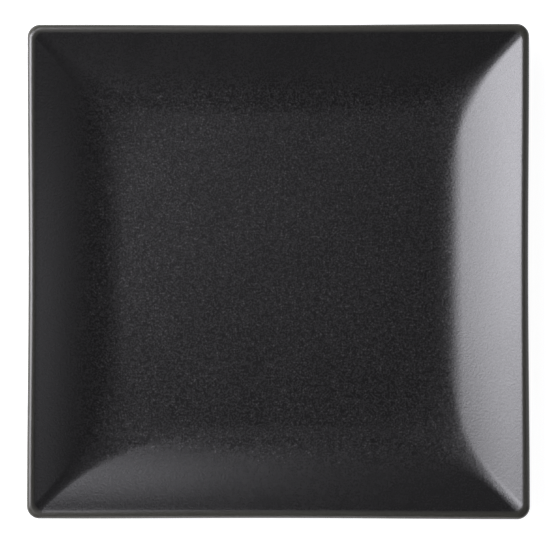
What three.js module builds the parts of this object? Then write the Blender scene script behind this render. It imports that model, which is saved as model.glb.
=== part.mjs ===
// A square dinner plate: a stoneware slab with a flat floor, four broad sloped walls and a foot ring,
// under a matte black glaze. Millimetres, +Z up, standing on z = 0 with its centre on the origin.
import * as THREE from 'three';

// Whole plate, measured over the glaze
const plateWidth = 265;
const plateDepth = 261;
const plateHeight = 25;

// Outline, whose sides the firing has drawn in a little at their middles
const outerCornerRadius = 6.8;
const leftRightDraw = 0.65;
const frontBackDraw = 0.45;

// Slab of the plate and the glaze on it
const slabThickness = 5.2;
const glazeThickness = 0.4;

// Floor and walls
const floorEdgeInset = 50;
const floorCornerRadius = 48;
const floorFilletRadius = 47;
const wallCurveRadius = 175;
const lipCornerShare = 0.5; // what the corner radius gives up for each step in on the lip
const cornerOpening = 3.1; // power at which the corners of the level lines open out, lip to floor

// Foot ring
const footHeight = 2.6;
const footWidth = 6;
const footSetback = 2.8;
const footBevel = 0.5;
const glazeLineHeight = 1.3;

// Fineness of the surfaces
const cornerSteps = 8;
const sideSteps = 6;
const filletSteps = 5;
const wallSteps = 4;
const lipInnerSteps = 2;
const lipOuterSteps = 4;
const lipUnderSteps = 3;

// Worked out from the sizes above
const lipRadius = slabThickness / 2;
const floorHeight = footHeight + slabThickness;
const clayRecessHeight = footHeight + glazeThickness;
const footOuterInset = floorEdgeInset + footSetback;
const footInnerInset = footOuterInset + footWidth;
const footOuterCorner = floorCornerRadius - footSetback;
const footInnerCorner = footOuterCorner - footWidth;

// Section through a wall: x runs in from the plate's edge, and y is the height
const lipCentre = new THREE.Vector2( lipRadius, plateHeight - lipRadius );
const filletCentre = new THREE.Vector2( floorEdgeInset, floorHeight + floorFilletRadius );
const wallCentre = arcCentre(
	lipCentre, wallCurveRadius + lipRadius,
	filletCentre, wallCurveRadius - floorFilletRadius,
);
const lipLean = leanBetween( lipCentre, wallCentre );
const filletLean = leanBetween( filletCentre, wallCentre );

// The point above the line from one centre to the other that lies at the two given distances from them
function arcCentre( first, firstDistance, second, secondDistance ) {

	const line = second.clone().sub( first );
	const gap = line.length();
	const along = ( firstDistance ** 2 - secondDistance ** 2 + gap ** 2 ) / ( 2 * gap );
	const across = Math.sqrt( firstDistance ** 2 - along ** 2 );
	line.normalize();
	const up = new THREE.Vector2( - line.y, line.x );
	return first.clone().addScaledVector( line, along ).addScaledVector( up, across );

}

// The angle from upright, leaning in to the middle of the plate, of the line from one point to another
function leanBetween( from, to ) {

	return Math.atan2( to.x - from.x, to.y - from.y );

}

function leaning( angle ) {

	return new THREE.Vector2( Math.sin( angle ), Math.cos( angle ) );

}

// The corner radius of a level line: tighter further in on the lip, then opening out down the wall
function cornerAt( inset ) {

	const lipInset = lipRadius + lipRadius * Math.sin( lipLean );
	if ( inset <= lipInset ) return outerCornerRadius - lipCornerShare * inset;
	const lipCorner = outerCornerRadius - lipCornerShare * lipInset;
	const wayShare = ( inset - lipInset ) / ( floorEdgeInset - lipInset );
	return lipCorner + ( floorCornerRadius - lipCorner ) * wayShare ** cornerOpening;

}

// Places along an arc of the section, after its first end: point, outward direction and corner radius
function arcPlaces( { centre, radius, hollow, from, to, steps } ) {

	const places = [];
	for ( let step = 1; step <= steps; step ++ ) {

		const outward = leaning( THREE.MathUtils.lerp( from, to, step / steps ) );
		const point = centre.clone().addScaledVector( outward, hollow ? - radius : radius );
		places.push( { point, outward, corner: cornerAt( point.x ) } );

	}

	return places;

}

// Places on the upper face, from the floor's edge to the lip
function upperPlaces() {

	const floorEdge = new THREE.Vector2( floorEdgeInset, floorHeight );
	const fillet = { centre: filletCentre, radius: floorFilletRadius, from: 0, to: filletLean };
	const wall = { centre: wallCentre, radius: wallCurveRadius, from: filletLean, to: lipLean };
	return [
		{ point: floorEdge, outward: leaning( 0 ), corner: floorCornerRadius },
		...arcPlaces( { ...fillet, steps: filletSteps, hollow: true } ),
		...arcPlaces( { ...wall, steps: wallSteps, hollow: true } ),
	];

}

// Places round the lip, by way of its top and its outermost line, to just before the under face
function lipPlaces() {

	const lip = { centre: lipCentre, radius: lipRadius, hollow: false };
	return [
		...arcPlaces( { ...lip, from: lipLean, to: 0, steps: lipInnerSteps } ),
		...arcPlaces( { ...lip, from: 0, to: - Math.PI / 2, steps: lipOuterSteps } ),
		...arcPlaces( { ...lip, from: - Math.PI / 2, to: lipLean - Math.PI, steps: lipUnderSteps } ),
	].slice( 0, - 1 );

}

// A level ring at a depth below a place, along the ring through the place
function ringBelow( place, depth ) {

	const shift = depth * place.outward.x;
	return {
		inset: place.point.x - shift,
		height: place.point.y - depth * place.outward.y,
		corner: place.corner + lipCornerShare * shift,
	};

}

// Rings at a depth under the glazed face, from the floor up over the lip and back below the floor
function slabRings( depth ) {

	const upper = upperPlaces();
	return [
		...upper.map( ( place ) => ringBelow( place, depth ) ),
		...lipPlaces().map( ( place ) => ringBelow( place, depth ) ),
		...upper.reverse().map( ( place ) => ringBelow( place, slabThickness - depth ) ),
	];

}

// The points of a ring, anticlockwise from above: four round corners and four sides that are drawn in
function ringPoints( { inset, height, corner } ) {

	const cornerX = plateWidth / 2 - inset - corner;
	const cornerY = plateDepth / 2 - inset - corner;
	const drawShare = Math.max( 0, 1 - inset / floorEdgeInset );
	const centres = [
		[ cornerX, cornerY ], [ - cornerX, cornerY ], [ - cornerX, - cornerY ], [ cornerX, - cornerY ],
	];
	const onCorner = ( quarter, share ) => {

		const [ x, y ] = centres[ quarter % centres.length ];
		const angle = ( quarter + share ) * Math.PI / 2;
		return new THREE.Vector3( x + corner * Math.cos( angle ), y + corner * Math.sin( angle ), height );

	};

	const points = [];
	for ( let quarter = 0; quarter < centres.length; quarter ++ ) {

		for ( let step = 0; step <= cornerSteps; step ++ ) {

			points.push( onCorner( quarter, step / cornerSteps ) );

		}

		const sideStart = onCorner( quarter, 1 );
		const sideEnd = onCorner( quarter + 1, 0 );
		const draw = drawShare * ( quarter % 2 ? leftRightDraw : frontBackDraw );
		const outAngle = ( quarter + 1 ) * Math.PI / 2;
		const out = new THREE.Vector3( Math.cos( outAngle ), Math.sin( outAngle ), 0 );
		for ( let step = 1; step < sideSteps; step ++ ) {

			const sideShare = step / sideSteps;
			const point = sideStart.clone().lerp( sideEnd, sideShare );
			points.push( point.addScaledVector( out, - draw * Math.sin( Math.PI * sideShare ) ** 2 ) );

		}

	}

	return points;

}

// Collects rings and the faces between them
class Skin {

	constructor() {

		this.positions = [];
		this.faces = [];

	}

	addPoints( points ) {

		const first = this.positions.length / 3;
		for ( const point of points ) this.positions.push( point.x, point.y, point.z );
		return points.map( ( _, i ) => first + i );

	}

	addFace( a, b, c, turned ) {

		this.faces.push( a, turned ? c : b, turned ? b : c );

	}

	// Faces from one ring to the next; turned ones face the other way
	addBand( from, to, turned = false ) {

		for ( let i = 0; i < from.length; i ++ ) {

			const next = ( i + 1 ) % from.length;
			this.addFace( from[ i ], to[ i ], to[ next ], turned );
			this.addFace( from[ i ], to[ next ], from[ next ], turned );

		}

	}

	addChain( rings, turned = false ) {

		const chain = rings.map( ( ring ) => this.addPoints( ringPoints( ring ) ) );
		for ( let i = 1; i < chain.length; i ++ ) this.addBand( chain[ i - 1 ], chain[ i ], turned );
		return chain;

	}

	// A flat face from a ring to the middle of the plate
	addDisc( ring, height, turned = false ) {

		const [ middle ] = this.addPoints( [ new THREE.Vector3( 0, 0, height ) ] );
		for ( let i = 0; i < ring.length; i ++ ) {

			this.addFace( middle, ring[ i ], ring[ ( i + 1 ) % ring.length ], turned );

		}

	}

	toGeometry() {

		const geometry = new THREE.BufferGeometry();
		geometry.setAttribute( 'position', new THREE.Float32BufferAttribute( this.positions, 3 ) );
		geometry.setIndex( this.faces );
		geometry.computeVertexNormals();
		return geometry;

	}

}

// The clay side of the foot's outer face, down to the glaze's edge
function footOuterRings() {

	return [
		{ inset: footOuterInset, height: clayRecessHeight, corner: footOuterCorner },
		{ inset: footOuterInset, height: glazeLineHeight, corner: footOuterCorner },
	];

}

// The clay side of the foot's inner face, up from the glaze's edge
function footInnerRings() {

	return [
		{ inset: footInnerInset, height: glazeLineHeight, corner: footInnerCorner },
		{ inset: footInnerInset, height: clayRecessHeight, corner: footInnerCorner },
	];

}

// The bare end of the foot, which the plate stands on
function footEndRings() {

	return [
		{ inset: footOuterInset, height: footBevel, corner: footOuterCorner },
		{ inset: footOuterInset + footBevel, height: 0, corner: footOuterCorner - footBevel },
		{ inset: footInnerInset - footBevel, height: 0, corner: footInnerCorner + footBevel },
		{ inset: footInnerInset, height: footBevel, corner: footInnerCorner },
	];

}

// Fired clay: the slab and its foot ring in one piece
function stonewareBodyGeometry() {

	const skin = new Skin();
	const footRings = [ ...footOuterRings(), ...footEndRings(), ...footInnerRings() ];
	const rings = [ ...slabRings( glazeThickness ), ...footRings ];
	const chain = skin.addChain( rings );
	skin.addDisc( chain.at( 0 ), rings.at( 0 ).height );
	skin.addDisc( chain.at( - 1 ), clayRecessHeight, true );
	return skin.toGeometry();

}

// Glaze over the floor, walls, lip and underside, as far as its edge on the foot's outer face
function glazeCoatGeometry() {

	const glazedCorner = footOuterCorner + glazeThickness;
	const glazedInset = footOuterInset - glazeThickness;
	const outerRings = [
		...slabRings( 0 ),
		{ inset: glazedInset, height: footHeight, corner: glazedCorner },
		{ inset: glazedInset, height: glazeLineHeight, corner: glazedCorner },
	];
	const innerRings = [ ...slabRings( glazeThickness ), ...footOuterRings() ];

	const skin = new Skin();
	const outer = skin.addChain( outerRings );
	const inner = skin.addChain( innerRings, true );
	skin.addDisc( outer.at( 0 ), outerRings.at( 0 ).height );
	skin.addDisc( inner.at( 0 ), innerRings.at( 0 ).height, true );
	skin.addBand( outer.at( - 1 ), inner.at( - 1 ) );
	return skin.toGeometry();

}

// Glaze in the recess that the foot ring goes round, as far as its edge on the foot's inner face
function recessGlazeGeometry() {

	const glazedCorner = footInnerCorner - glazeThickness;
	const glazedInset = footInnerInset + glazeThickness;
	const outerRings = [
		{ inset: glazedInset, height: glazeLineHeight, corner: glazedCorner },
		{ inset: glazedInset, height: footHeight, corner: glazedCorner },
	];

	const skin = new Skin();
	const outer = skin.addChain( outerRings );
	const inner = skin.addChain( footInnerRings(), true );
	skin.addDisc( outer.at( - 1 ), footHeight, true );
	skin.addDisc( inner.at( - 1 ), clayRecessHeight );
	skin.addBand( inner.at( 0 ), outer.at( 0 ) );
	return skin.toGeometry();

}

function namedMesh( name, geometry, material ) {

	const mesh = new THREE.Mesh( geometry, material );
	mesh.name = name;
	return mesh;

}

const bareClay = new THREE.MeshStandardMaterial( { color: 0x8d7d6c, roughness: 0.92, metalness: 0 } );
const matteGlaze = new THREE.MeshStandardMaterial( { color: 0x1d1d1f, roughness: 0.42, metalness: 0 } );
const recessGlaze = new THREE.MeshStandardMaterial( { color: 0x1f1f21, roughness: 0.5, metalness: 0 } );

const plate = new THREE.Group();
plate.add(
	namedMesh( 'stoneware_body', stonewareBodyGeometry(), bareClay ),
	namedMesh( 'glaze_coat', glazeCoatGeometry(), matteGlaze ),
	namedMesh( 'recess_glaze', recessGlazeGeometry(), recessGlaze ),
);

export default plate;
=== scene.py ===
"""A square stoneware plate under a matte black glaze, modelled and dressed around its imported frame.

Every length is in metres and +Z is up. The plate stands on z = 0 with its centre on the origin, its width
along X and its depth along Y. A section through a wall is drawn with two numbers: the inset, which runs in
from the plate's edge, and the height.
"""

import logging
import math
from dataclasses import dataclass, field, replace
from enum import Enum
from functools import cached_property

import bmesh
import bpy
from mathutils import Matrix, Vector, noise


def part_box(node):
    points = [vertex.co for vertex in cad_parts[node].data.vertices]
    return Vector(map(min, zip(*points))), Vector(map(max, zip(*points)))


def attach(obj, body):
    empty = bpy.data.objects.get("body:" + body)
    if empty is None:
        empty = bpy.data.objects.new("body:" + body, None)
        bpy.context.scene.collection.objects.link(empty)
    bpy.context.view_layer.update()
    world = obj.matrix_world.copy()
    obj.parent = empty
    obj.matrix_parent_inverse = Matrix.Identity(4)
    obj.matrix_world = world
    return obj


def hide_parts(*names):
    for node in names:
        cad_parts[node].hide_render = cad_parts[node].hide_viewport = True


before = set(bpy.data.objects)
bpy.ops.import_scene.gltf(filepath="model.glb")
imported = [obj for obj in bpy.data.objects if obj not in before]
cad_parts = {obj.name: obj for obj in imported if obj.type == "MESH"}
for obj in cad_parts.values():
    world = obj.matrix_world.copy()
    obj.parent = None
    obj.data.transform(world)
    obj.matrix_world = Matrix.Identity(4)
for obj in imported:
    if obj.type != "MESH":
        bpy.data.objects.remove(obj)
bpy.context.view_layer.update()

LIP_THINNING_AND_HIGHLIGHT = "lip_thinning_and_highlight"  # the mesh attribute for the lip band, 0 to 1: how far the glaze has thinned there, which also sets a painted highlight
LIP_CORNER_SHARE = 0.5  # what the corner radius gives up for each step in on the lip
ROUND_POWER = 2.0  # the power of a corner whose curve is a quarter of a circle
CORNER_SIGNS = ((1, 1), (-1, 1), (-1, -1), (1, -1))  # anticlockwise from the corner at +X and +Y
QUARTER_TURN = math.pi / 2
HALF_TURN = math.pi
log = logging.getLogger("square_plate")

Colour = tuple[float, float, float]
Socket = bpy.types.NodeSocket
Inputs = dict[str | int, object]
WHITE: Colour = (1.0, 1.0, 1.0)


def solid(colour: Colour) -> tuple[float, float, float, float]:
    """The colour with full opacity, as sockets take it."""
    return (*colour, 1.0)


def quarter_angles(steps: int) -> list[float]:
    """The angles of a quarter turn that is made in steps, with both its ends."""
    return [QUARTER_TURN * step / steps for step in range(steps + 1)]


class Bend(Enum):
    """Whether an arc of the section is hollow, as a fillet is, or round, as the lip is."""

    HOLLOW = -1.0
    ROUND = 1.0


@dataclass(frozen=True)
class Steps:
    """How many steps each stretch of the section is made in.

    Args:
        fillet: The hollow between the floor and the wall.
        wall: The wall's long curve.
        lip_inner: Where the wall rounds over on to the lip.
        lip_outer: The lip's outer side.
        lip_under: Where the lip turns under.
    """

    fillet: int
    wall: int
    lip_inner: int
    lip_outer: int
    lip_under: int


class Fineness(Enum):
    """How fine a skin is made: fine where it shows, plain where it lies against another piece."""

    FINE = Steps(fillet=24, wall=16, lip_inner=4, lip_outer=12, lip_under=8)
    PLAIN = Steps(fillet=6, wall=4, lip_inner=2, lip_outer=4, lip_under=3)


@dataclass(frozen=True)
class LevelRing:
    """A level line round the plate.

    Args:
        inset: How far it lies in from the plate's edge.
        height: How high it lies.
        corner: The radius of its corners.
        thinning_and_highlight: The share, 0 to 1, by which the glaze has thinned there, which also lightens
            it as a painted highlight.
        waver: How far a hand-wiped edge strays upwards along it.
    """

    inset: float
    height: float
    corner: float
    thinning_and_highlight: float = 0.0
    waver: float = 0.0

    def inside(self, margin: float) -> "LevelRing":
        """The ring that runs a margin inside this one, at its height."""
        return LevelRing(self.inset + margin, self.height, self.corner - margin)


@dataclass(frozen=True)
class Place:
    """A place on the glazed face of the section.

    Args:
        inset: How far it lies in from the plate's edge.
        height: How high it lies.
        lean: The angle from upright, towards the plate's middle, of the direction out of the surface.
        corner: The radius of the corners of the level line through it.
        thinning_and_highlight: The share, 0 to 1, by which the glaze has thinned there, which also lightens
            it as a painted highlight.
    """

    inset: float
    height: float
    lean: float
    corner: float
    thinning_and_highlight: float = 0.0

    def below(self, depth: float) -> LevelRing:
        """The level line at a depth under this place.

        Args:
            depth: The depth, square to the surface.

        Returns:
            A ring that runs along the one through the place.
        """
        shift = depth * math.sin(self.lean)
        height = self.height - depth * math.cos(self.lean)
        return LevelRing(self.inset - shift, height, self.corner + LIP_CORNER_SHARE * shift, self.thinning_and_highlight)


def corner_reach(corner: float, power: float) -> float:
    """How far a corner of a power runs along its sides, if its middle lies where a round one has it."""
    diagonal = math.cos(QUARTER_TURN / 2)
    return corner * (1 - diagonal) / (1 - diagonal ** (ROUND_POWER / power))


@dataclass(frozen=True)
class PlateForm:
    """The plate's sizes, measured over the glaze, with the section and the outlines that follow from them.

    Args:
        width: Its size along X, over the corners.
        depth: Its size along Y, over the corners.
        height: How high the lip stands.
        glaze: The thickness of the glaze.
        glaze_line: The height of the glaze's wiped edge on the foot.
        clay_recess_height: The height of the clay's under face inside the foot.
        foot_inner_inset: The inset of the clay's inner foot face.
        outer_corner: The corner radius of the outermost level line.
        left_right_draw: How far the left and right sides are drawn in at their middles.
        front_back_draw: How far the front and back sides are drawn in there.
        slab: The slab's thickness.
        lip_inner_radius: The radius at which the wall rounds over on to the lip.
        lip_outer_radius: The radius of the lip's outer side.
        floor_edge_inset: The inset at which the level floor ends.
        floor_corner: The corner radius of the floor's edge.
        floor_fillet: The radius of the hollow between the floor and the wall.
        floor_margin: How far inside the floor's edge the floor's one flat face starts.
        wall_curve: The radius of the wall's long hollow curve.
        corner_opening: The power by which the corners open out down the wall.
        corner_power: The power of the corners' curve by the floor, where their bend sets in gently.
        thinning_and_highlight_power: The power by which the glaze thins, and the painted highlight grows,
            towards the lip's middle.
        foot_width: The width of the foot ring.
        corner_steps: How many steps a corner of a level line is made in.
        side_steps: How many steps a side of it is made in.
    """

    width: float
    depth: float
    height: float
    glaze: float
    glaze_line: float
    clay_recess_height: float
    foot_inner_inset: float
    outer_corner: float = 0.0068
    left_right_draw: float = 0.00065
    front_back_draw: float = 0.00045
    slab: float = 0.0052
    lip_inner_radius: float = 0.0038
    lip_outer_radius: float = 0.0027
    floor_edge_inset: float = 0.050
    floor_corner: float = 0.048
    floor_fillet: float = 0.047
    floor_margin: float = 0.002
    wall_curve: float = 0.175
    corner_opening: float = 3.1
    corner_power: float = 3.0
    thinning_and_highlight_power: float = 0.6
    foot_width: float = 0.006
    corner_steps: int = 24
    side_steps: int = 24

    @classmethod
    def from_frame(cls) -> "PlateForm":
        """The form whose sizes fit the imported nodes.

        Returns:
            The form, with the sizes that the nodes' boxes give.
        """
        coat_low, coat_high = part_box("glaze_coat")
        body_low, body_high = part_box("stoneware_body")
        recess_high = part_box("recess_glaze")[1]
        return cls(
            width=coat_high.x - coat_low.x,
            depth=coat_high.y - coat_low.y,
            height=coat_high.z - body_low.z,
            glaze=coat_high.z - body_high.z,
            glaze_line=coat_low.z,
            clay_recess_height=recess_high.z,
            foot_inner_inset=coat_high.x - recess_high.x,
        )

    @property
    def foot_height(self) -> float:
        """The height of the glazed underside over what the plate stands on."""
        return self.clay_recess_height - self.glaze

    @property
    def floor_height(self) -> float:
        """The height of the glazed floor."""
        return self.foot_height + self.slab

    @property
    def widest_height(self) -> float:
        """The height at which the lip reaches out furthest."""
        return self.height - self.lip_outer_radius

    @property
    def lip_under_radius(self) -> float:
        """The radius at which the lip turns under, so that it meets the under face without a corner."""
        sine, cosine = math.sin(self.lip_lean), math.cos(self.lip_lean)
        inner, outer = self.lip_inner_radius, self.lip_outer_radius
        return (self.slab - inner - outer * sine + (inner - outer) * cosine) / (1 - sine)

    @property
    def lip_inset(self) -> float:
        """The inset at which the lip meets the wall."""
        return self.lip_outer_radius + self.lip_inner_radius * math.sin(self.lip_lean)

    @property
    def foot_outer_inset(self) -> float:
        """The inset of the clay's outer foot face."""
        return self.foot_inner_inset - self.foot_width

    @property
    def foot_outer_corner(self) -> float:
        """The corner radius of the clay's outer foot face, which runs parallel to the floor's edge."""
        return self.floor_corner - (self.foot_outer_inset - self.floor_edge_inset)

    @property
    def foot_inner_corner(self) -> float:
        """The corner radius of the clay's inner foot face."""
        return self.foot_outer_corner - self.foot_width

    @property
    def ring_steps(self) -> int:
        """How many steps a whole level line is made in."""
        return len(CORNER_SIGNS) * (self.corner_steps + self.side_steps)

    @cached_property
    def lip_centre(self) -> Vector:
        """The centre of the lip's inner arc in the section."""
        return Vector((self.lip_outer_radius, self.height - self.lip_inner_radius))

    @cached_property
    def fillet_centre(self) -> Vector:
        """The centre of the arc between the floor and the wall."""
        return Vector((self.floor_edge_inset, self.floor_height + self.floor_fillet))

    @cached_property
    def wall_centre(self) -> Vector:
        """The centre of the wall's long arc, which meets the lip and the fillet without a corner."""
        lip_distance = self.wall_curve + self.lip_inner_radius
        fillet_distance = self.wall_curve - self.floor_fillet
        line = self.fillet_centre - self.lip_centre
        gap = line.length
        along = (lip_distance**2 - fillet_distance**2 + gap**2) / (2 * gap)
        across = math.sqrt(lip_distance**2 - along**2)
        line.normalize()
        return self.lip_centre + line * along + Vector((-line.y, line.x)) * across

    @cached_property
    def lip_lean(self) -> float:
        """How far the surface's direction leans where the wall meets the lip."""
        line = self.wall_centre - self.lip_centre
        return math.atan2(line.x, line.y)

    @cached_property
    def fillet_lean(self) -> float:
        """How far the surface's direction leans where the fillet meets the wall."""
        line = self.wall_centre - self.fillet_centre
        return math.atan2(line.x, line.y)

    def corner_at(self, inset: float) -> float:
        """The corner radius of the level line at an inset.

        Args:
            inset: The inset of a place on the lip, the wall or the fillet.

        Returns:
            The radius, which is tighter further in on the lip and opens out down the wall.
        """
        if inset <= self.lip_inset:
            return self.outer_corner - LIP_CORNER_SHARE * inset
        lip_corner = self.outer_corner - LIP_CORNER_SHARE * self.lip_inset
        way = (inset - self.lip_inset) / (self.floor_edge_inset - self.lip_inset)
        return lip_corner + (self.floor_corner - lip_corner) * way**self.corner_opening

    def arc(
        self, centre: Vector, radius: float, bend: Bend, start: float, end: float, steps: int
    ) -> list[Place]:
        """The places along an arc of the section, after its first end.

        Args:
            centre: The arc's centre.
            radius: Its radius.
            bend: Whether the surface is hollow or round there.
            start: The lean at its first end.
            end: The lean at its last end.
            steps: How many places it gets.

        Returns:
            The places in order.
        """
        places = []
        for step in range(1, steps + 1):
            lean = start + (end - start) * step / steps
            outward = Vector((math.sin(lean), math.cos(lean)))
            point = centre + outward * radius * bend.value
            places.append(Place(point.x, point.y, lean, self.corner_at(point.x)))
        return places

    def upper_places(self, steps: Steps) -> list[Place]:
        """The places on the upper face, from the floor's edge to the lip.

        Args:
            steps: How many steps each stretch is made in.

        Returns:
            The places in order.
        """
        edge = Place(self.floor_edge_inset, self.floor_height, 0.0, self.floor_corner)
        fillet = self.arc(
            self.fillet_centre, self.floor_fillet, Bend.HOLLOW, 0.0, self.fillet_lean, steps.fillet
        )
        wall = self.arc(
            self.wall_centre, self.wall_curve, Bend.HOLLOW, self.fillet_lean, self.lip_lean, steps.wall
        )
        return [edge, *fillet, *wall]

    def lip_places(self, steps: Steps) -> list[Place]:
        """The places round the lip, between the upper and the under face, thinly glazed at their middle,
        where a lighter colour also paints a highlight.

        Args:
            steps: How many steps each stretch is made in.

        Returns:
            The places in order, without the last, which the under face starts with.
        """
        leans = [self.lip_lean, 0.0, -QUARTER_TURN, self.lip_lean - HALF_TURN]
        arcs = [
            (self.lip_centre, self.lip_inner_radius, steps.lip_inner),
            (Vector((self.lip_outer_radius, self.widest_height)), self.lip_outer_radius, steps.lip_outer),
            (Vector((self.lip_under_radius, self.widest_height)), self.lip_under_radius, steps.lip_under),
        ]
        places = []
        for (centre, radius, count), start, end in zip(arcs, leans, leans[1:]):
            places += self.arc(centre, radius, Bend.ROUND, start, end, count)
        # the glaze thins round the lip, and the same share paints a lighter highlight there
        turned = [self.lip_lean - place.lean for place in places[:-1]]
        return [
            replace(place, thinning_and_highlight=math.sin(angle) ** self.thinning_and_highlight_power)
            for place, angle in zip(places, turned)
        ]

    def slab_rings(self, depth: float, fineness: Fineness) -> list[LevelRing]:
        """The rings at a depth under the glazed face, from the floor's edge over the lip and back below it.

        Args:
            depth: The depth, square to the surface.
            fineness: How fine the steps are.

        Returns:
            The rings in order.
        """
        steps = fineness.value
        upper = self.upper_places(steps)
        under = [place.below(self.slab - depth) for place in reversed(upper)]
        return [place.below(depth) for place in [*upper, *self.lip_places(steps)]] + under

    def corner_points(self, quarter: int, power: float, reach: float) -> list[Vector]:
        """The points along one corner of a level line, from the middle that it bends round.

        Args:
            quarter: The corner's number, anticlockwise from the one at +X and +Y.
            power: The power of its curve: 2 for a round corner, and more for one whose bend sets in gently.
            reach: How far it runs along each side.

        Returns:
            The points in order.
        """
        turn = Matrix.Rotation(quarter * QUARTER_TURN, 3, "Z")
        exponent = ROUND_POWER / power
        points = []
        for step in range(self.corner_steps + 1):
            angle = step / self.corner_steps * QUARTER_TURN
            local = Vector((math.cos(angle) ** exponent, math.sin(angle) ** exponent, 0)) * reach
            points.append(turn @ local)
        return points

    def side_points(self, start: Vector, end: Vector, inward: Vector) -> list[Vector]:
        """The points between the two ends of a side whose middle is drawn inwards."""
        shares = [step / self.side_steps for step in range(1, self.side_steps)]
        return [start.lerp(end, share) + inward * math.sin(HALF_TURN * share) ** 2 for share in shares]

    def outline(self, ring: LevelRing) -> list[Vector]:
        """The points of a ring, anticlockwise from above.

        Args:
            ring: The level line to follow.

        Returns:
            Points along four corners, and along four sides that are drawn in at their middles.
        """
        way_in = min(1.0, ring.inset / self.floor_edge_inset)
        power = ROUND_POWER + (self.corner_power - ROUND_POWER) * way_in
        reach = corner_reach(ring.corner, power)
        middle = Vector((self.width, self.depth)) / 2 - Vector((1, 1)) * (ring.inset + reach)
        centres = [Vector((middle.x * x, middle.y * y, ring.height)) for x, y in CORNER_SIGNS]
        next_centres = centres[1:] + centres[:1]
        draws = (self.front_back_draw, self.left_right_draw) * 2
        points = []
        for quarter, (centre, next_centre, draw) in enumerate(zip(centres, next_centres, draws)):
            points += [centre + point for point in self.corner_points(quarter, power, reach)]
            bearing = (quarter + 1) * QUARTER_TURN
            outward = Vector((math.cos(bearing), math.sin(bearing), 0))
            inward = outward * -draw * (1 - way_in)
            points += self.side_points(points[-1], next_centre + outward * reach, inward)
        return points


def add_object(name: str, mesh: bmesh.types.BMesh, material: bpy.types.Material) -> bpy.types.Object:
    """Turns a mesh into an object of the scene.

    Args:
        name: The object's name.
        mesh: The mesh, which is used up.
        material: Its finish.

    Returns:
        The object, at the origin.
    """
    data = bpy.data.meshes.new(name)
    mesh.to_mesh(data)
    mesh.free()
    data.materials.append(material)
    made = bpy.data.objects.new(name, data)
    bpy.context.scene.collection.objects.link(made)
    return made


@dataclass
class RingMesh:
    """A closed skin that is extruded from one ring to the next.

    Args:
        form: The plate whose outlines the rings follow.
        waver_pitch: The length over which a hand-wiped edge strays up and back.
        mesh: The mesh that it is made in.
        loop: The vertices of its open edge, in order.
    """

    form: PlateForm
    waver_pitch: float = 0.021
    mesh: bmesh.types.BMesh = field(default_factory=bmesh.new)
    loop: list[bmesh.types.BMVert] = field(default_factory=list)

    def __post_init__(self) -> None:
        """Gives the mesh its layer for the glaze's thinning and the lip's painted highlight."""
        self.thin_and_highlight_layer = self.mesh.verts.layers.float.new(LIP_THINNING_AND_HIGHLIGHT)

    def place(self, ring: LevelRing) -> None:
        """Moves the open edge on to a ring.

        Args:
            ring: The level line to follow.
        """
        for vert, point in zip(self.loop, self.form.outline(ring)):
            stray = noise.noise(Vector((point.x, point.y, 0)) / self.waver_pitch)
            vert.co = point + Vector((0, 0, ring.waver * abs(stray)))
            vert[self.thin_and_highlight_layer] = ring.thinning_and_highlight

    def loop_edges(self) -> list[bmesh.types.BMEdge]:
        """The edges of the open edge, in order."""
        return [self.mesh.edges.get(pair) for pair in zip(self.loop, self.loop[1:] + self.loop[:1])]

    def close(self) -> None:
        """Fills the open edge with a flat face."""
        bmesh.ops.contextual_create(self.mesh, geom=self.loop_edges())

    def reach(self, ring: LevelRing) -> None:
        """Extrudes the open edge to a ring.

        Args:
            ring: The level line to end on.
        """
        made = bmesh.ops.extrude_edge_only(self.mesh, edges=self.loop_edges())
        new_verts = {item for item in made["geom"] if isinstance(item, bmesh.types.BMVert)}
        self.loop = [
            next(edge.other_vert(vert) for edge in vert.link_edges if edge.other_vert(vert) in new_verts)
            for vert in self.loop
        ]
        self.place(ring)

    def cover(self, rings: list[LevelRing]) -> None:
        """Makes the skin through rings, from a flat face inside the first to one inside the last.

        Args:
            rings: The level lines to follow, in order.
        """
        made = bmesh.ops.create_circle(self.mesh, cap_ends=False, radius=1, segments=self.form.ring_steps)
        self.loop = sorted(made["verts"], key=lambda vert: math.atan2(vert.co.y, vert.co.x) % math.tau)
        self.place(rings[0])
        self.close()
        for ring in rings[1:]:
            self.reach(ring)
        self.close()

    def finish(self, name: str, material: bpy.types.Material) -> bpy.types.Object:
        """Makes the skin an object of the scene.

        Args:
            name: The piece's name.
            material: Its finish.

        Returns:
            The object, smooth shaded and facing outwards.
        """
        bmesh.ops.recalc_face_normals(self.mesh, faces=self.mesh.faces)
        for face in self.mesh.faces:
            face.smooth = True
        return add_object(name, self.mesh, material)


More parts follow.
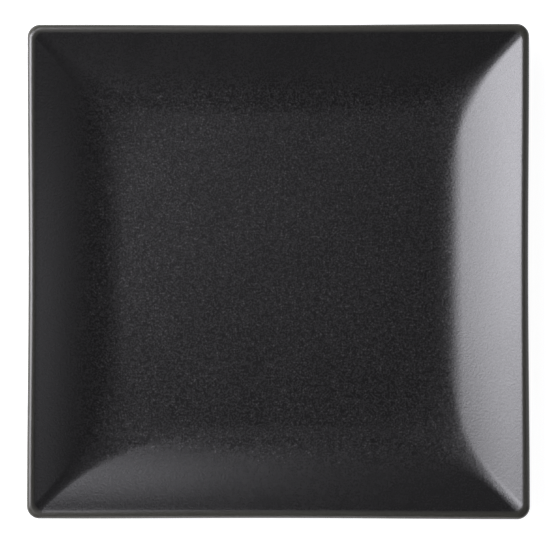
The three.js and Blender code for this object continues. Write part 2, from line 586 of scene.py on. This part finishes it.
@dataclass
class NodeSheet:
    """Adds nodes to a material, a world or a node group and joins them.

    Args:
        tree: The node tree to work on.
    """

    tree: bpy.types.NodeTree

    @classmethod
    def emptied(cls, owner: bpy.types.Material | bpy.types.World) -> "NodeSheet":
        """The sheet of a material or a world, cleared of the nodes that it comes with.

        Args:
            owner: The material or the world.

        Returns:
            The sheet.
        """
        owner.use_nodes = True
        owner.node_tree.nodes.clear()
        return cls(owner.node_tree)

    def join(self, value: object, socket: Socket) -> None:
        """Puts a value, or what a socket gives, into a socket.

        Args:
            value: The value, or the socket to join.
            socket: The socket that takes it.
        """
        if isinstance(value, Socket):
            self.tree.links.new(value, socket)
        else:
            socket.default_value = value

    def add(self, kind: str, inputs: Inputs | None = None, **settings: object) -> bpy.types.Node:
        """Adds a node.

        Args:
            kind: The node's type.
            inputs: Its inputs by name or number, as values or as sockets to join.
            **settings: Its own settings.

        Returns:
            The node.
        """
        node = self.tree.nodes.new(kind)
        for name, value in settings.items():
            setattr(node, name, value)
        for key, value in (inputs or {}).items():
            self.join(value, node.inputs[key])
        return node

    def combine(self, operation: str, *numbers: object) -> Socket:
        """What a Math node's operation makes of numbers, which are values or sockets."""
        return self.add("ShaderNodeMath", dict(enumerate(numbers)), operation=operation).outputs[0]

    def mix(self, share: object, low: object, high: object) -> Socket:
        """Mixes two colours.

        Args:
            share: The second colour's share, as a number or a socket.
            low: The first colour.
            high: The second colour.

        Returns:
            The result's socket.
        """
        node = self.add("ShaderNodeMix", data_type="RGBA", blend_type="MIX")
        factor, first, second = (socket for socket in node.inputs if socket.enabled)
        for value, socket in ((share, factor), (low, first), (high, second)):
            self.join(value, socket)
        return next(socket for socket in node.outputs if socket.enabled)

    def ramp(self, value: Socket, low: float, high: float, to_low: float, to_high: float) -> Socket:
        """A number that goes smoothly from one value to another as a number goes from low to high."""
        inputs = {"Value": value, "From Min": low, "From Max": high, "To Min": to_low, "To Max": to_high}
        return self.add("ShaderNodeMapRange", inputs, interpolation_type="SMOOTHSTEP").outputs[0]

    def noise(self, place: Socket, size: Socket, detail: float, scale: float = 1.0) -> Socket:
        """A noise that varies over a length divided by a scale, with some finer detail."""
        inputs = {"Vector": place, "Scale": self.combine("DIVIDE", scale, size), "Detail": detail}
        return self.add("ShaderNodeTexNoise", inputs).outputs[0]

    def sight_rays(self) -> tuple[Socket, Socket]:
        """Tells the rays that something is seen by from those that only carry light.

        Returns:
            A socket that is 1 for the camera's rays, and one that is 1 for reflected or transmitted ones.
        """
        path = self.add("ShaderNodeLightPath").outputs
        mirrored = self.combine("MAXIMUM", path["Is Glossy Ray"], path["Is Transmission Ray"])
        return path["Is Camera Ray"], mirrored


@dataclass(frozen=True)
class Grain:
    """A node group for the grain of fired surfaces: its relief, its fine specks and its slow clouding.

    Args:
        name: The group's name.
        main_detail: How much finer detail the main noise carries.
        coarse_detail: How much the coarse noise carries.
        finest_detail: How much the finest noise carries.
        cloud_detail: How much the clouds carry.
        coarse_scale: How much closer than the main noise the coarse one is, which is less than 1.
        finest_scale: How much closer the finest noise is.
        coarse_part: How much of the coarse noise joins the main one.
        finest_part: How much of the finest noise joins the relief.
        mean: The mean of the main and the coarse noise together.
        specks_from: The main noise at which specks set in.
        specks_to: The main noise at which they are full.
        clouds_from: The slow noise at which clouds set in.
        clouds_to: The slow noise at which they are full.
    """

    name: str = "fired_grain"
    main_detail: float = 1.5
    coarse_detail: float = 1.0
    finest_detail: float = 0.0
    cloud_detail: float = 3.0
    coarse_scale: float = 0.4
    finest_scale: float = 3.0
    coarse_part: float = 0.3
    finest_part: float = 0.4
    mean: float = 0.65
    specks_from: float = 0.58
    specks_to: float = 0.72
    clouds_from: float = 0.35
    clouds_to: float = 0.65

    def group(self) -> bpy.types.NodeTree:
        """Builds the group, or finds it if it is built.

        Returns:
            The group, with inputs Place, Size and Cloud Size, and outputs Height, Unevenness, Specks and
            Clouds.
        """
        if self.name in bpy.data.node_groups:
            return bpy.data.node_groups[self.name]
        tree = bpy.data.node_groups.new(self.name, "ShaderNodeTree")
        numbers = {"INPUT": ("Size", "Cloud Size"), "OUTPUT": ("Height", "Unevenness", "Specks", "Clouds")}
        tree.interface.new_socket("Place", in_out="INPUT", socket_type="NodeSocketVector")
        for direction, names in numbers.items():
            for name in names:
                tree.interface.new_socket(name, in_out=direction, socket_type="NodeSocketFloat")
        sheet = NodeSheet(tree)
        given = sheet.add("NodeGroupInput").outputs
        place, size, cloud_size = given["Place"], given["Size"], given["Cloud Size"]
        main = sheet.noise(place, size, self.main_detail)
        coarse = sheet.noise(place, size, self.coarse_detail, self.coarse_scale)
        finest = sheet.noise(place, size, self.finest_detail, self.finest_scale)
        clouds = sheet.noise(place, cloud_size, self.cloud_detail)
        grains = sheet.combine("MULTIPLY_ADD", coarse, self.coarse_part, main)
        outputs = {
            "Height": sheet.combine("MULTIPLY_ADD", finest, self.finest_part, grains),
            "Unevenness": sheet.combine("SUBTRACT", grains, self.mean),
            "Specks": sheet.ramp(main, self.specks_from, self.specks_to, 0.0, 1.0),
            "Clouds": sheet.ramp(clouds, self.clouds_from, self.clouds_to, 0.0, 1.0),
        }
        sheet.add("NodeGroupOutput", outputs)
        return tree


@dataclass(frozen=True)
class FiredFinish:
    """A fired surface, glazed or bare.

    Args:
        name: The material's name.
        colour: Its colour.
        cloud_colour: The colour it drifts to in slow clouds.
        speck_colour: The colour of its fine specks.
        thin_glaze_and_highlight_colour: The colour it turns to where the glaze thins on the lip, lighter
            than thinned glaze alone, as a painted highlight.
        roughness: Its roughness.
        roughness_spread: How much its roughness varies with the clouds.
        grain_contrast: How much its colour varies from grain to grain, as a share.
        grain_roughness: How much its roughness varies from grain to grain.
        grain_size: The length of a grain.
        grain_relief: How deep the grain is.
        grain_on_slopes: The share of the colour's grain that is left on the slopes.
        rough_on_slopes: The share of the roughness's grain that is left there.
        cloud_size: The length of a cloud.
        index: Its index of refraction.
        level_until: The height up to which the surface counts as level.
        slopes_from: The height from which it counts as sloped.
    """

    name: str
    colour: Colour
    cloud_colour: Colour
    speck_colour: Colour
    thin_glaze_and_highlight_colour: Colour
    roughness: float
    roughness_spread: float
    grain_contrast: float
    grain_roughness: float
    grain_size: float
    grain_relief: float
    grain_on_slopes: float
    rough_on_slopes: float
    cloud_size: float
    index: float
    level_until: float = 0.0085
    slopes_from: float = 0.0165

    def faded(self, sheet: NodeSheet, height: Socket, strength: float, share_left: float) -> Socket:
        """A strength that fades with the height, from the level floor to the share left on the slopes."""
        return sheet.ramp(height, self.level_until, self.slopes_from, strength, strength * share_left)

    def tinted(self, sheet: NodeSheet, grain: bpy.types.Node, height: Socket) -> Socket:
        """The colour with its clouds, its specks, its grain, and a lighter lip for the thinned glaze and a
        painted highlight.

        Args:
            sheet: The material's sheet.
            grain: The grain's node.
            height: The height's socket.

        Returns:
            The colour's socket.
        """
        # the lip band: partly thinned glaze, partly a painted highlight
        thin_and_highlight = sheet.add("ShaderNodeAttribute", attribute_name=LIP_THINNING_AND_HIGHLIGHT).outputs["Fac"]
        clouded = sheet.mix(grain.outputs["Clouds"], solid(self.colour), solid(self.cloud_colour))
        specked = sheet.mix(grain.outputs["Specks"], clouded, solid(self.speck_colour))
        thinned_and_highlighted = sheet.mix(thin_and_highlight, specked, solid(self.thin_glaze_and_highlight_colour))
        contrast = self.faded(sheet, height, self.grain_contrast, self.grain_on_slopes)
        tone = sheet.combine("MULTIPLY_ADD", grain.outputs["Unevenness"], contrast, 1.0)
        return sheet.add("ShaderNodeVectorMath", {0: thinned_and_highlighted, "Scale": tone}, operation="SCALE").outputs[0]

    def roughened(self, sheet: NodeSheet, grain: bpy.types.Node, height: Socket) -> Socket:
        """The roughness, which drifts with the clouds and varies from grain to grain.

        Args:
            sheet: The material's sheet.
            grain: The grain's node.
            height: The height's socket.

        Returns:
            The roughness's socket.
        """
        low, high = self.roughness - self.roughness_spread, self.roughness + self.roughness_spread
        cloudy = sheet.ramp(grain.outputs["Clouds"], 0.0, 1.0, low, high)
        spread = self.faded(sheet, height, self.grain_roughness, self.rough_on_slopes)
        return sheet.combine("MULTIPLY_ADD", grain.outputs["Unevenness"], spread, cloudy)

    def material(self) -> bpy.types.Material:
        """Builds the material.

        Returns:
            The material.
        """
        material = bpy.data.materials.new(self.name)
        sheet = NodeSheet.emptied(material)
        place = sheet.add("ShaderNodeTexCoord").outputs["Object"]
        height = sheet.add("ShaderNodeSeparateXYZ", {0: place}).outputs["Z"]
        sizes = {"Place": place, "Size": self.grain_size, "Cloud Size": self.cloud_size}
        grain = sheet.add("ShaderNodeGroup", sizes, node_tree=Grain().group())
        relief = {"Height": grain.outputs["Height"], "Distance": self.grain_relief}
        inputs = {
            "Base Color": self.tinted(sheet, grain, height),
            "Roughness": self.roughened(sheet, grain, height),
            "IOR": self.index,
            "Normal": sheet.add("ShaderNodeBump", relief).outputs[0],
        }
        shader = sheet.add("ShaderNodeBsdfPrincipled", inputs)
        sheet.add("ShaderNodeOutputMaterial", {"Surface": shader.outputs[0]})
        return material


MATTE_GLAZE = FiredFinish(
    name="matte_glaze",
    colour=(0.0184, 0.0181, 0.0182),
    cloud_colour=(0.0198, 0.0194, 0.0195),
    speck_colour=(0.0205, 0.0198, 0.0200),
    # warm and several times lighter than the glaze: partly clay showing through thinned glaze, partly a
    # painted highlight on the lip
    thin_glaze_and_highlight_colour=(0.0675, 0.0660, 0.0545),
    roughness=0.22,
    roughness_spread=0.006,
    grain_contrast=2.7,
    grain_roughness=0.28,
    grain_size=0.0010,
    grain_relief=0.000045,
    grain_on_slopes=0.2,
    rough_on_slopes=0.4,
    cloud_size=0.03,
    index=1.6,
)
UNDERSIDE_GLAZE = replace(MATTE_GLAZE, name="underside_glaze", roughness=0.42)
BARE_CLAY = FiredFinish(
    name="bare_clay",
    colour=(0.30, 0.24, 0.175),
    cloud_colour=(0.26, 0.205, 0.15),
    speck_colour=(0.13, 0.10, 0.075),
    thin_glaze_and_highlight_colour=(0.30, 0.24, 0.175),
    roughness=0.9,
    roughness_spread=0.04,
    grain_contrast=0.6,
    grain_roughness=0.1,
    grain_size=0.0006,
    grain_relief=0.00006,
    grain_on_slopes=1.0,
    rough_on_slopes=1.0,
    cloud_size=0.02,
    index=1.45,
)


def dress(piece: bpy.types.Object, node: str) -> bpy.types.Object:
    """Puts a piece in the place of a node.

    Args:
        piece: The piece.
        node: The node that it stands for.

    Returns:
        The piece.
    """
    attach(piece, "root")
    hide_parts(node)
    return piece


@dataclass
class ClayBody:
    """The fired clay: the slab and the foot ring that it stands on.

    Args:
        form: The plate's sizes.
        foot_round: The radius of the foot's lower edges.
        round_steps: How many steps a small rounding has.
    """

    form: PlateForm
    foot_round: float = 0.0005
    round_steps: int = 5

    def foot_rings(self) -> list[LevelRing]:
        """The rings round the foot, down its outer face and up its inner one.

        Returns:
            The rings in order.
        """
        form, radius = self.form, self.foot_round
        angles = quarter_angles(self.round_steps)
        outer = [
            (form.foot_outer_inset + radius * (1 - math.cos(angle)), radius * (1 - math.sin(angle)))
            for angle in angles
        ]
        inner = [
            (form.foot_inner_inset - radius * (1 - math.sin(angle)), radius * (1 - math.cos(angle)))
            for angle in angles
        ]
        top = form.clay_recess_height
        section = [(form.foot_outer_inset, top), *outer, *inner, (form.foot_inner_inset, top)]
        corner = form.foot_outer_corner + form.foot_outer_inset
        return [LevelRing(inset, height, corner - inset) for inset, height in section]

    def build(self) -> bpy.types.Object:
        """Models the clay, dresses it and puts it in the place of its node.

        Returns:
            The piece.
        """
        form = self.form
        rings = form.slab_rings(form.glaze, Fineness.PLAIN)
        skin = RingMesh(form)
        skin.cover([rings[0].inside(form.floor_margin), *rings, *self.foot_rings()])
        piece = skin.finish("clay_body", BARE_CLAY.material())
        return dress(piece, "stoneware_body")


@dataclass
class Glaze:
    """The glaze: a coat over the whole plate down to the foot, and a patch in the recess inside the foot.

    Args:
        form: The plate's sizes.
        root_fillet: The radius at which the glaze pools against the foot.
        wipe_waver: How far its hand-wiped edge strays upwards.
        round_steps: How many steps a small rounding has.
    """

    form: PlateForm
    root_fillet: float = 0.0006
    wipe_waver: float = 0.00035
    round_steps: int = 6

    def foot_face(self, clay_inset: float, clay_corner: float, outwards: float) -> list[LevelRing]:
        """The glaze's rings on a face of the foot, from the underside to its edge on the clay.

        Args:
            clay_inset: The inset of the clay's face.
            clay_corner: The corner radius of the clay's face.
            outwards: -1 on the foot's outer face, which faces the plate's edge, and 1 on its inner face.

        Returns:
            The rings in order: a hollow pool at the root, the face, and a rounded lower edge.
        """
        form, glaze, pool = self.form, self.form.glaze, self.root_fillet
        angles = quarter_angles(self.round_steps)
        section = [
            (glaze + pool * (1 - math.sin(angle)), form.foot_height - pool * (1 - math.cos(angle)), 0.0)
            for angle in angles
        ]
        section += [
            (glaze * math.cos(angle), form.glaze_line + glaze * (1 - math.sin(angle)), self.wipe_waver)
            for angle in angles
        ]
        return [
            LevelRing(clay_inset + outwards * out, height, clay_corner - outwards * out, waver=waver)
            for out, height, waver in section
        ]

    def build_coat(self) -> bpy.types.Object:
        """Models the coat, dresses it and puts it in the place of its node.

        Returns:
            The piece.
        """
        form, margin = self.form, self.form.floor_margin
        shown = form.slab_rings(0.0, Fineness.FINE)
        face = self.foot_face(form.foot_outer_inset, form.foot_outer_corner, -1.0)
        root = LevelRing(form.foot_outer_inset, form.clay_recess_height, form.foot_outer_corner)
        hidden = form.slab_rings(form.glaze, Fineness.PLAIN)
        skin = RingMesh(form)
        skin.cover(
            [shown[0].inside(margin), *shown, *face, root, *reversed(hidden), hidden[0].inside(margin)]
        )
        piece = skin.finish("glaze_skin", MATTE_GLAZE.material())
        return dress(piece, "glaze_coat")

    def build_recess(self) -> bpy.types.Object:
        """Models the patch in the recess, dresses it and puts it in the place of its node.

        Returns:
            The piece.
        """
        form, margin = self.form, self.form.floor_margin
        root = LevelRing(form.foot_inner_inset, form.clay_recess_height, form.foot_inner_corner)
        face = self.foot_face(form.foot_inner_inset, form.foot_inner_corner, 1.0)
        skin = RingMesh(form)
        skin.cover([root.inside(margin), root, *reversed(face), face[0].inside(margin)])
        piece = skin.finish("recess_glaze_skin", UNDERSIDE_GLAZE.material())
        return dress(piece, "recess_glaze")


@dataclass(frozen=True)
class SoftLight:
    """A rectangular soft light that faces the plate, made of sheets that lie behind one another.

    Args:
        name: Its name.
        azimuth: Its bearing from the plate in degrees, anticlockwise from +X.
        lean: Its angle from overhead, in degrees.
        radiance: How bright its middle is.
        width: Its size along the level before it is turned, at half its brightness.
        height: Its size across that.
        turn: How far it is turned about its own axis, in degrees.
        fade: The length over which its brightness falls off across each edge.
        distance: How far off it is.
        sheets: How many sheets it is made of, each larger than the one before.
        sheet_gap: How far apart they lie.
        colour: Its colour.
    """

    name: str
    azimuth: float
    lean: float
    radiance: float
    width: float = 0.2
    height: float = 0.2
    turn: float = 0.0
    fade: float = 0.2
    distance: float = 1.2
    sheets: int = 4
    sheet_gap: float = 0.004
    colour: Colour = (0.998, 0.988, 1.060)

    def place_sheet(self, number: int) -> None:
        """Hangs one of the light's sheets.

        Args:
            number: Its number from the front, from 0.
        """
        growth = self.fade * ((2 * number + 1) / self.sheets - 1)
        data = bpy.data.lights.new(f"{self.name}_{number}", "AREA")
        data.shape = "RECTANGLE"
        data.size = self.width + growth
        data.size_y = self.height + growth
        data.color = self.colour
        data.energy = self.radiance / self.sheets * math.pi * data.size * data.size_y
        light = bpy.data.objects.new(f"{self.name}_{number}", data)
        bearing = Matrix.Rotation(math.radians(self.azimuth), 4, "Z")
        tilt = Matrix.Rotation(math.radians(self.lean), 4, "Y")
        out = Matrix.Translation((0, 0, self.distance + self.sheet_gap * number))
        spin = Matrix.Rotation(QUARTER_TURN + math.radians(self.turn), 4, "Z")
        light.matrix_world = bearing @ tilt @ out @ spin
        bpy.context.scene.collection.objects.link(light)

    def place(self) -> None:
        """Hangs the light."""
        for number in range(self.sheets):
            self.place_sheet(number)


STUDIO_LIGHTS = [
    SoftLight(
        "left_key", azimuth=174.8, lean=45, radiance=5.72,
        width=0.653, height=0.773, turn=35.1, fade=0.16,
    ),
    SoftLight("left_low", azimuth=169, lean=58, radiance=2.58, width=0.69, height=0.74, turn=24.5),
    SoftLight("left_soft", azimuth=165, lean=58, radiance=7.1, width=0.3, height=0.3),
    SoftLight("left_corner", azimuth=150, lean=42, radiance=9.21),
    SoftLight("left_corner_low", azimuth=150, lean=56, radiance=0.21, width=0.3, height=0.3),
    SoftLight("left_high", azimuth=180, lean=24, radiance=1.29, width=0.28, height=0.28),
    SoftLight(
        "upper_left_spot", azimuth=134.9, lean=26.4, radiance=8.49,
        width=0.362, height=0.114, turn=8.8, fade=0.06,
    ),
    SoftLight("upper_soft", azimuth=110, lean=42, radiance=4.32),
    SoftLight("upper_high", azimuth=90, lean=30, radiance=0.167),
    SoftLight("overhead_left", azimuth=150, lean=8, radiance=0.296),
    SoftLight("overhead_right", azimuth=60, lean=8, radiance=0.123),
    SoftLight("right_fill", azimuth=-0.3, lean=56.2, radiance=0.709, width=0.413, height=0.562, turn=14.2),
    SoftLight("right_low", azimuth=0, lean=75, radiance=0.843, width=0.5, height=0.26, fade=0.1),
    SoftLight("lower_left_spot", azimuth=225, lean=34, radiance=1.71, width=0.28, height=0.28, fade=0.24),
    SoftLight("front_low", azimuth=-90, lean=75, radiance=2.44, width=0.5, height=0.26, fade=0.1),
]


@dataclass
class Studio:
    """The pale floor, the soft lights and the dim surroundings.

    Args:
        lights: The soft lights.
        overhead: The colour of the surroundings overhead.
        low_down: The colour of the surroundings at the floor's far edge.
        low_until: The height of a direction, 0 to 1, at which they have faded to the colour overhead.
        backdrop_top: The height of a direction up to which reflections show the white background.
        floor_reach: Half the side of the floor.
        floor_gap: How far under the foot ring the floor lies.
        floor_colour: The floor's colour.
        floor_glow: How much brightness the camera and reflections see added to the floor near the plate.
        glow_near: How far from the plate's middle that holds.
        glow_far: How far from it the floor has become all white.
    """

    lights: list[SoftLight]
    overhead: Colour = (0.0125, 0.0125, 0.0125)
    low_down: Colour = (0.10, 0.10, 0.095)
    low_until: float = 0.35
    backdrop_top: float = 0.12
    floor_reach: float = 4.0
    floor_gap: float = 0.0001
    floor_colour: Colour = (0.5, 0.5, 0.5)
    floor_glow: float = 0.94
    glow_near: float = 0.3
    glow_far: float = 1.5

    def floor_material(self) -> bpy.types.Material:
        """Builds the floor's material, which looks white from above and is clear to the camera from below.

        Returns:
            The material.
        """
        material = bpy.data.materials.new("studio_floor")
        sheet = NodeSheet.emptied(material)
        camera, mirrored = sheet.sight_rays()
        matte = sheet.add("ShaderNodeBsdfDiffuse", {"Color": solid(self.floor_colour)})
        place = sheet.add("ShaderNodeTexCoord").outputs["Object"]
        distance = sheet.add("ShaderNodeVectorMath", {0: place}, operation="LENGTH").outputs["Value"]
        white = sheet.ramp(distance, self.glow_near, self.glow_far, self.floor_glow, 1.0)
        seen = sheet.combine("MAXIMUM", camera, mirrored)
        glow = sheet.add("ShaderNodeEmission", {"Strength": sheet.combine("MULTIPLY", seen, white)})
        both = sheet.add("ShaderNodeAddShader", {0: matte.outputs[0], 1: glow.outputs[0]})
        under = sheet.add("ShaderNodeNewGeometry").outputs["Backfacing"]
        seen_under = sheet.combine("MULTIPLY", under, camera)
        clear = sheet.add("ShaderNodeBsdfTransparent").outputs[0]
        shown = sheet.add("ShaderNodeMixShader", {0: seen_under, 1: both.outputs[0], 2: clear})
        sheet.add("ShaderNodeOutputMaterial", {"Surface": shown.outputs[0]})
        return material

    def build_floor(self) -> bpy.types.Object:
        """Lays the floor, which keeps the plate's shadow.

        Returns:
            The floor.
        """
        mesh = bmesh.new()
        level = Matrix.Translation((0, 0, -self.floor_gap))
        bmesh.ops.create_grid(mesh, x_segments=1, y_segments=1, size=self.floor_reach, matrix=level)
        floor = add_object("studio_floor", mesh, self.floor_material())
        return floor

    def build_surroundings(self) -> None:
        """Sets surroundings that are dark overhead, with a white backdrop that reflections show low down."""
        world = bpy.data.worlds.new("studio_surroundings")
        sheet = NodeSheet.emptied(world)
        camera, mirrored = sheet.sight_rays()
        direction = sheet.add("ShaderNodeTexCoord").outputs["Generated"]
        height = sheet.add("ShaderNodeSeparateXYZ", {0: direction}).outputs["Z"]
        rise = sheet.ramp(height, 0.0, self.low_until, 0.0, 1.0)
        around = sheet.mix(rise, solid(self.low_down), solid(self.overhead))
        backdrop = sheet.ramp(height, 0.0, self.backdrop_top, 1.0, 0.0)
        seen = sheet.combine("MAXIMUM", camera, sheet.combine("MULTIPLY", mirrored, backdrop))
        background = sheet.add("ShaderNodeBackground", {"Color": sheet.mix(seen, around, solid(WHITE))})
        sheet.add("ShaderNodeOutputWorld", {"Surface": background.outputs[0]})
        bpy.context.scene.world = world

    def build(self) -> None:
        """Sets up the studio."""
        self.build_floor()
        self.build_surroundings()
        for light in self.lights:
            light.place()


@dataclass(frozen=True)
class OverheadCamera:
    """A camera straight over the plate, framed as the photograph is.

    Args:
        photo_side: The photograph's side, in pixels.
        plate_centre: The plate's centre in the photograph, in pixels from its upper left corner.
        plate_width: The plate's width over its corners in the photograph, in pixels.
        lean_right: How far to the right of overhead the camera hangs, in degrees.
        lean_front: How far to the front of overhead it hangs, in degrees.
        distance: How far from the lip the camera hangs.
        sensor: The sensor's width, in millimetres.
    """

    photo_side: float = 550.0
    plate_centre: tuple[float, float] = (277.95, 271.2)
    plate_width: float = 502.5
    lean_right: float = 0.95
    lean_front: float = 0.85
    distance: float = 1.3
    sensor: float = 36.0

    def place(self, form: PlateForm) -> bpy.types.Object:
        """Hangs the camera and makes it the scene's own.

        Args:
            form: The plate's sizes.

        Returns:
            The camera.
        """
        pixel = form.width / self.plate_width
        middle = self.photo_side / 2
        data = bpy.data.cameras.new("overhead_camera")
        data.sensor_width = self.sensor
        data.lens = self.sensor * self.distance / (self.photo_side * pixel)
        camera = bpy.data.objects.new("overhead_camera", data)
        across = (middle - self.plate_centre[0]) * pixel
        along = (self.plate_centre[1] - middle) * pixel
        right, front = math.radians(self.lean_right), math.radians(self.lean_front)
        upwards = Vector((math.tan(right), -math.tan(front), 1)).normalized()
        camera.location = Vector((across, along, form.widest_height)) + upwards * self.distance
        camera.rotation_euler = (front, right, 0)
        bpy.context.scene.collection.objects.link(camera)
        bpy.context.scene.camera = camera
        return camera


def write_sizes() -> None:
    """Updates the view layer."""
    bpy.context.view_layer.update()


def main() -> None:
    """Builds the plate, the studio and the camera, and reports each piece."""
    logging.basicConfig(level=logging.INFO, format="%(name)s: %(message)s")
    bpy.context.scene.view_settings.view_transform = "Standard"
    form = PlateForm.from_frame()
    camera = OverheadCamera().place(form)
    log.info("camera at %s, lens %.1f mm", [round(value, 4) for value in camera.location], camera.data.lens)
    glaze = Glaze(form)
    for piece in (ClayBody(form).build(), glaze.build_coat(), glaze.build_recess()):
        log.info("%s has %d faces", piece.name, len(piece.data.polygons))
    Studio(STUDIO_LIGHTS).build()
    log.info("studio with %d soft lights", len(STUDIO_LIGHTS))
    write_sizes()


if __name__ == "__main__":
    main()
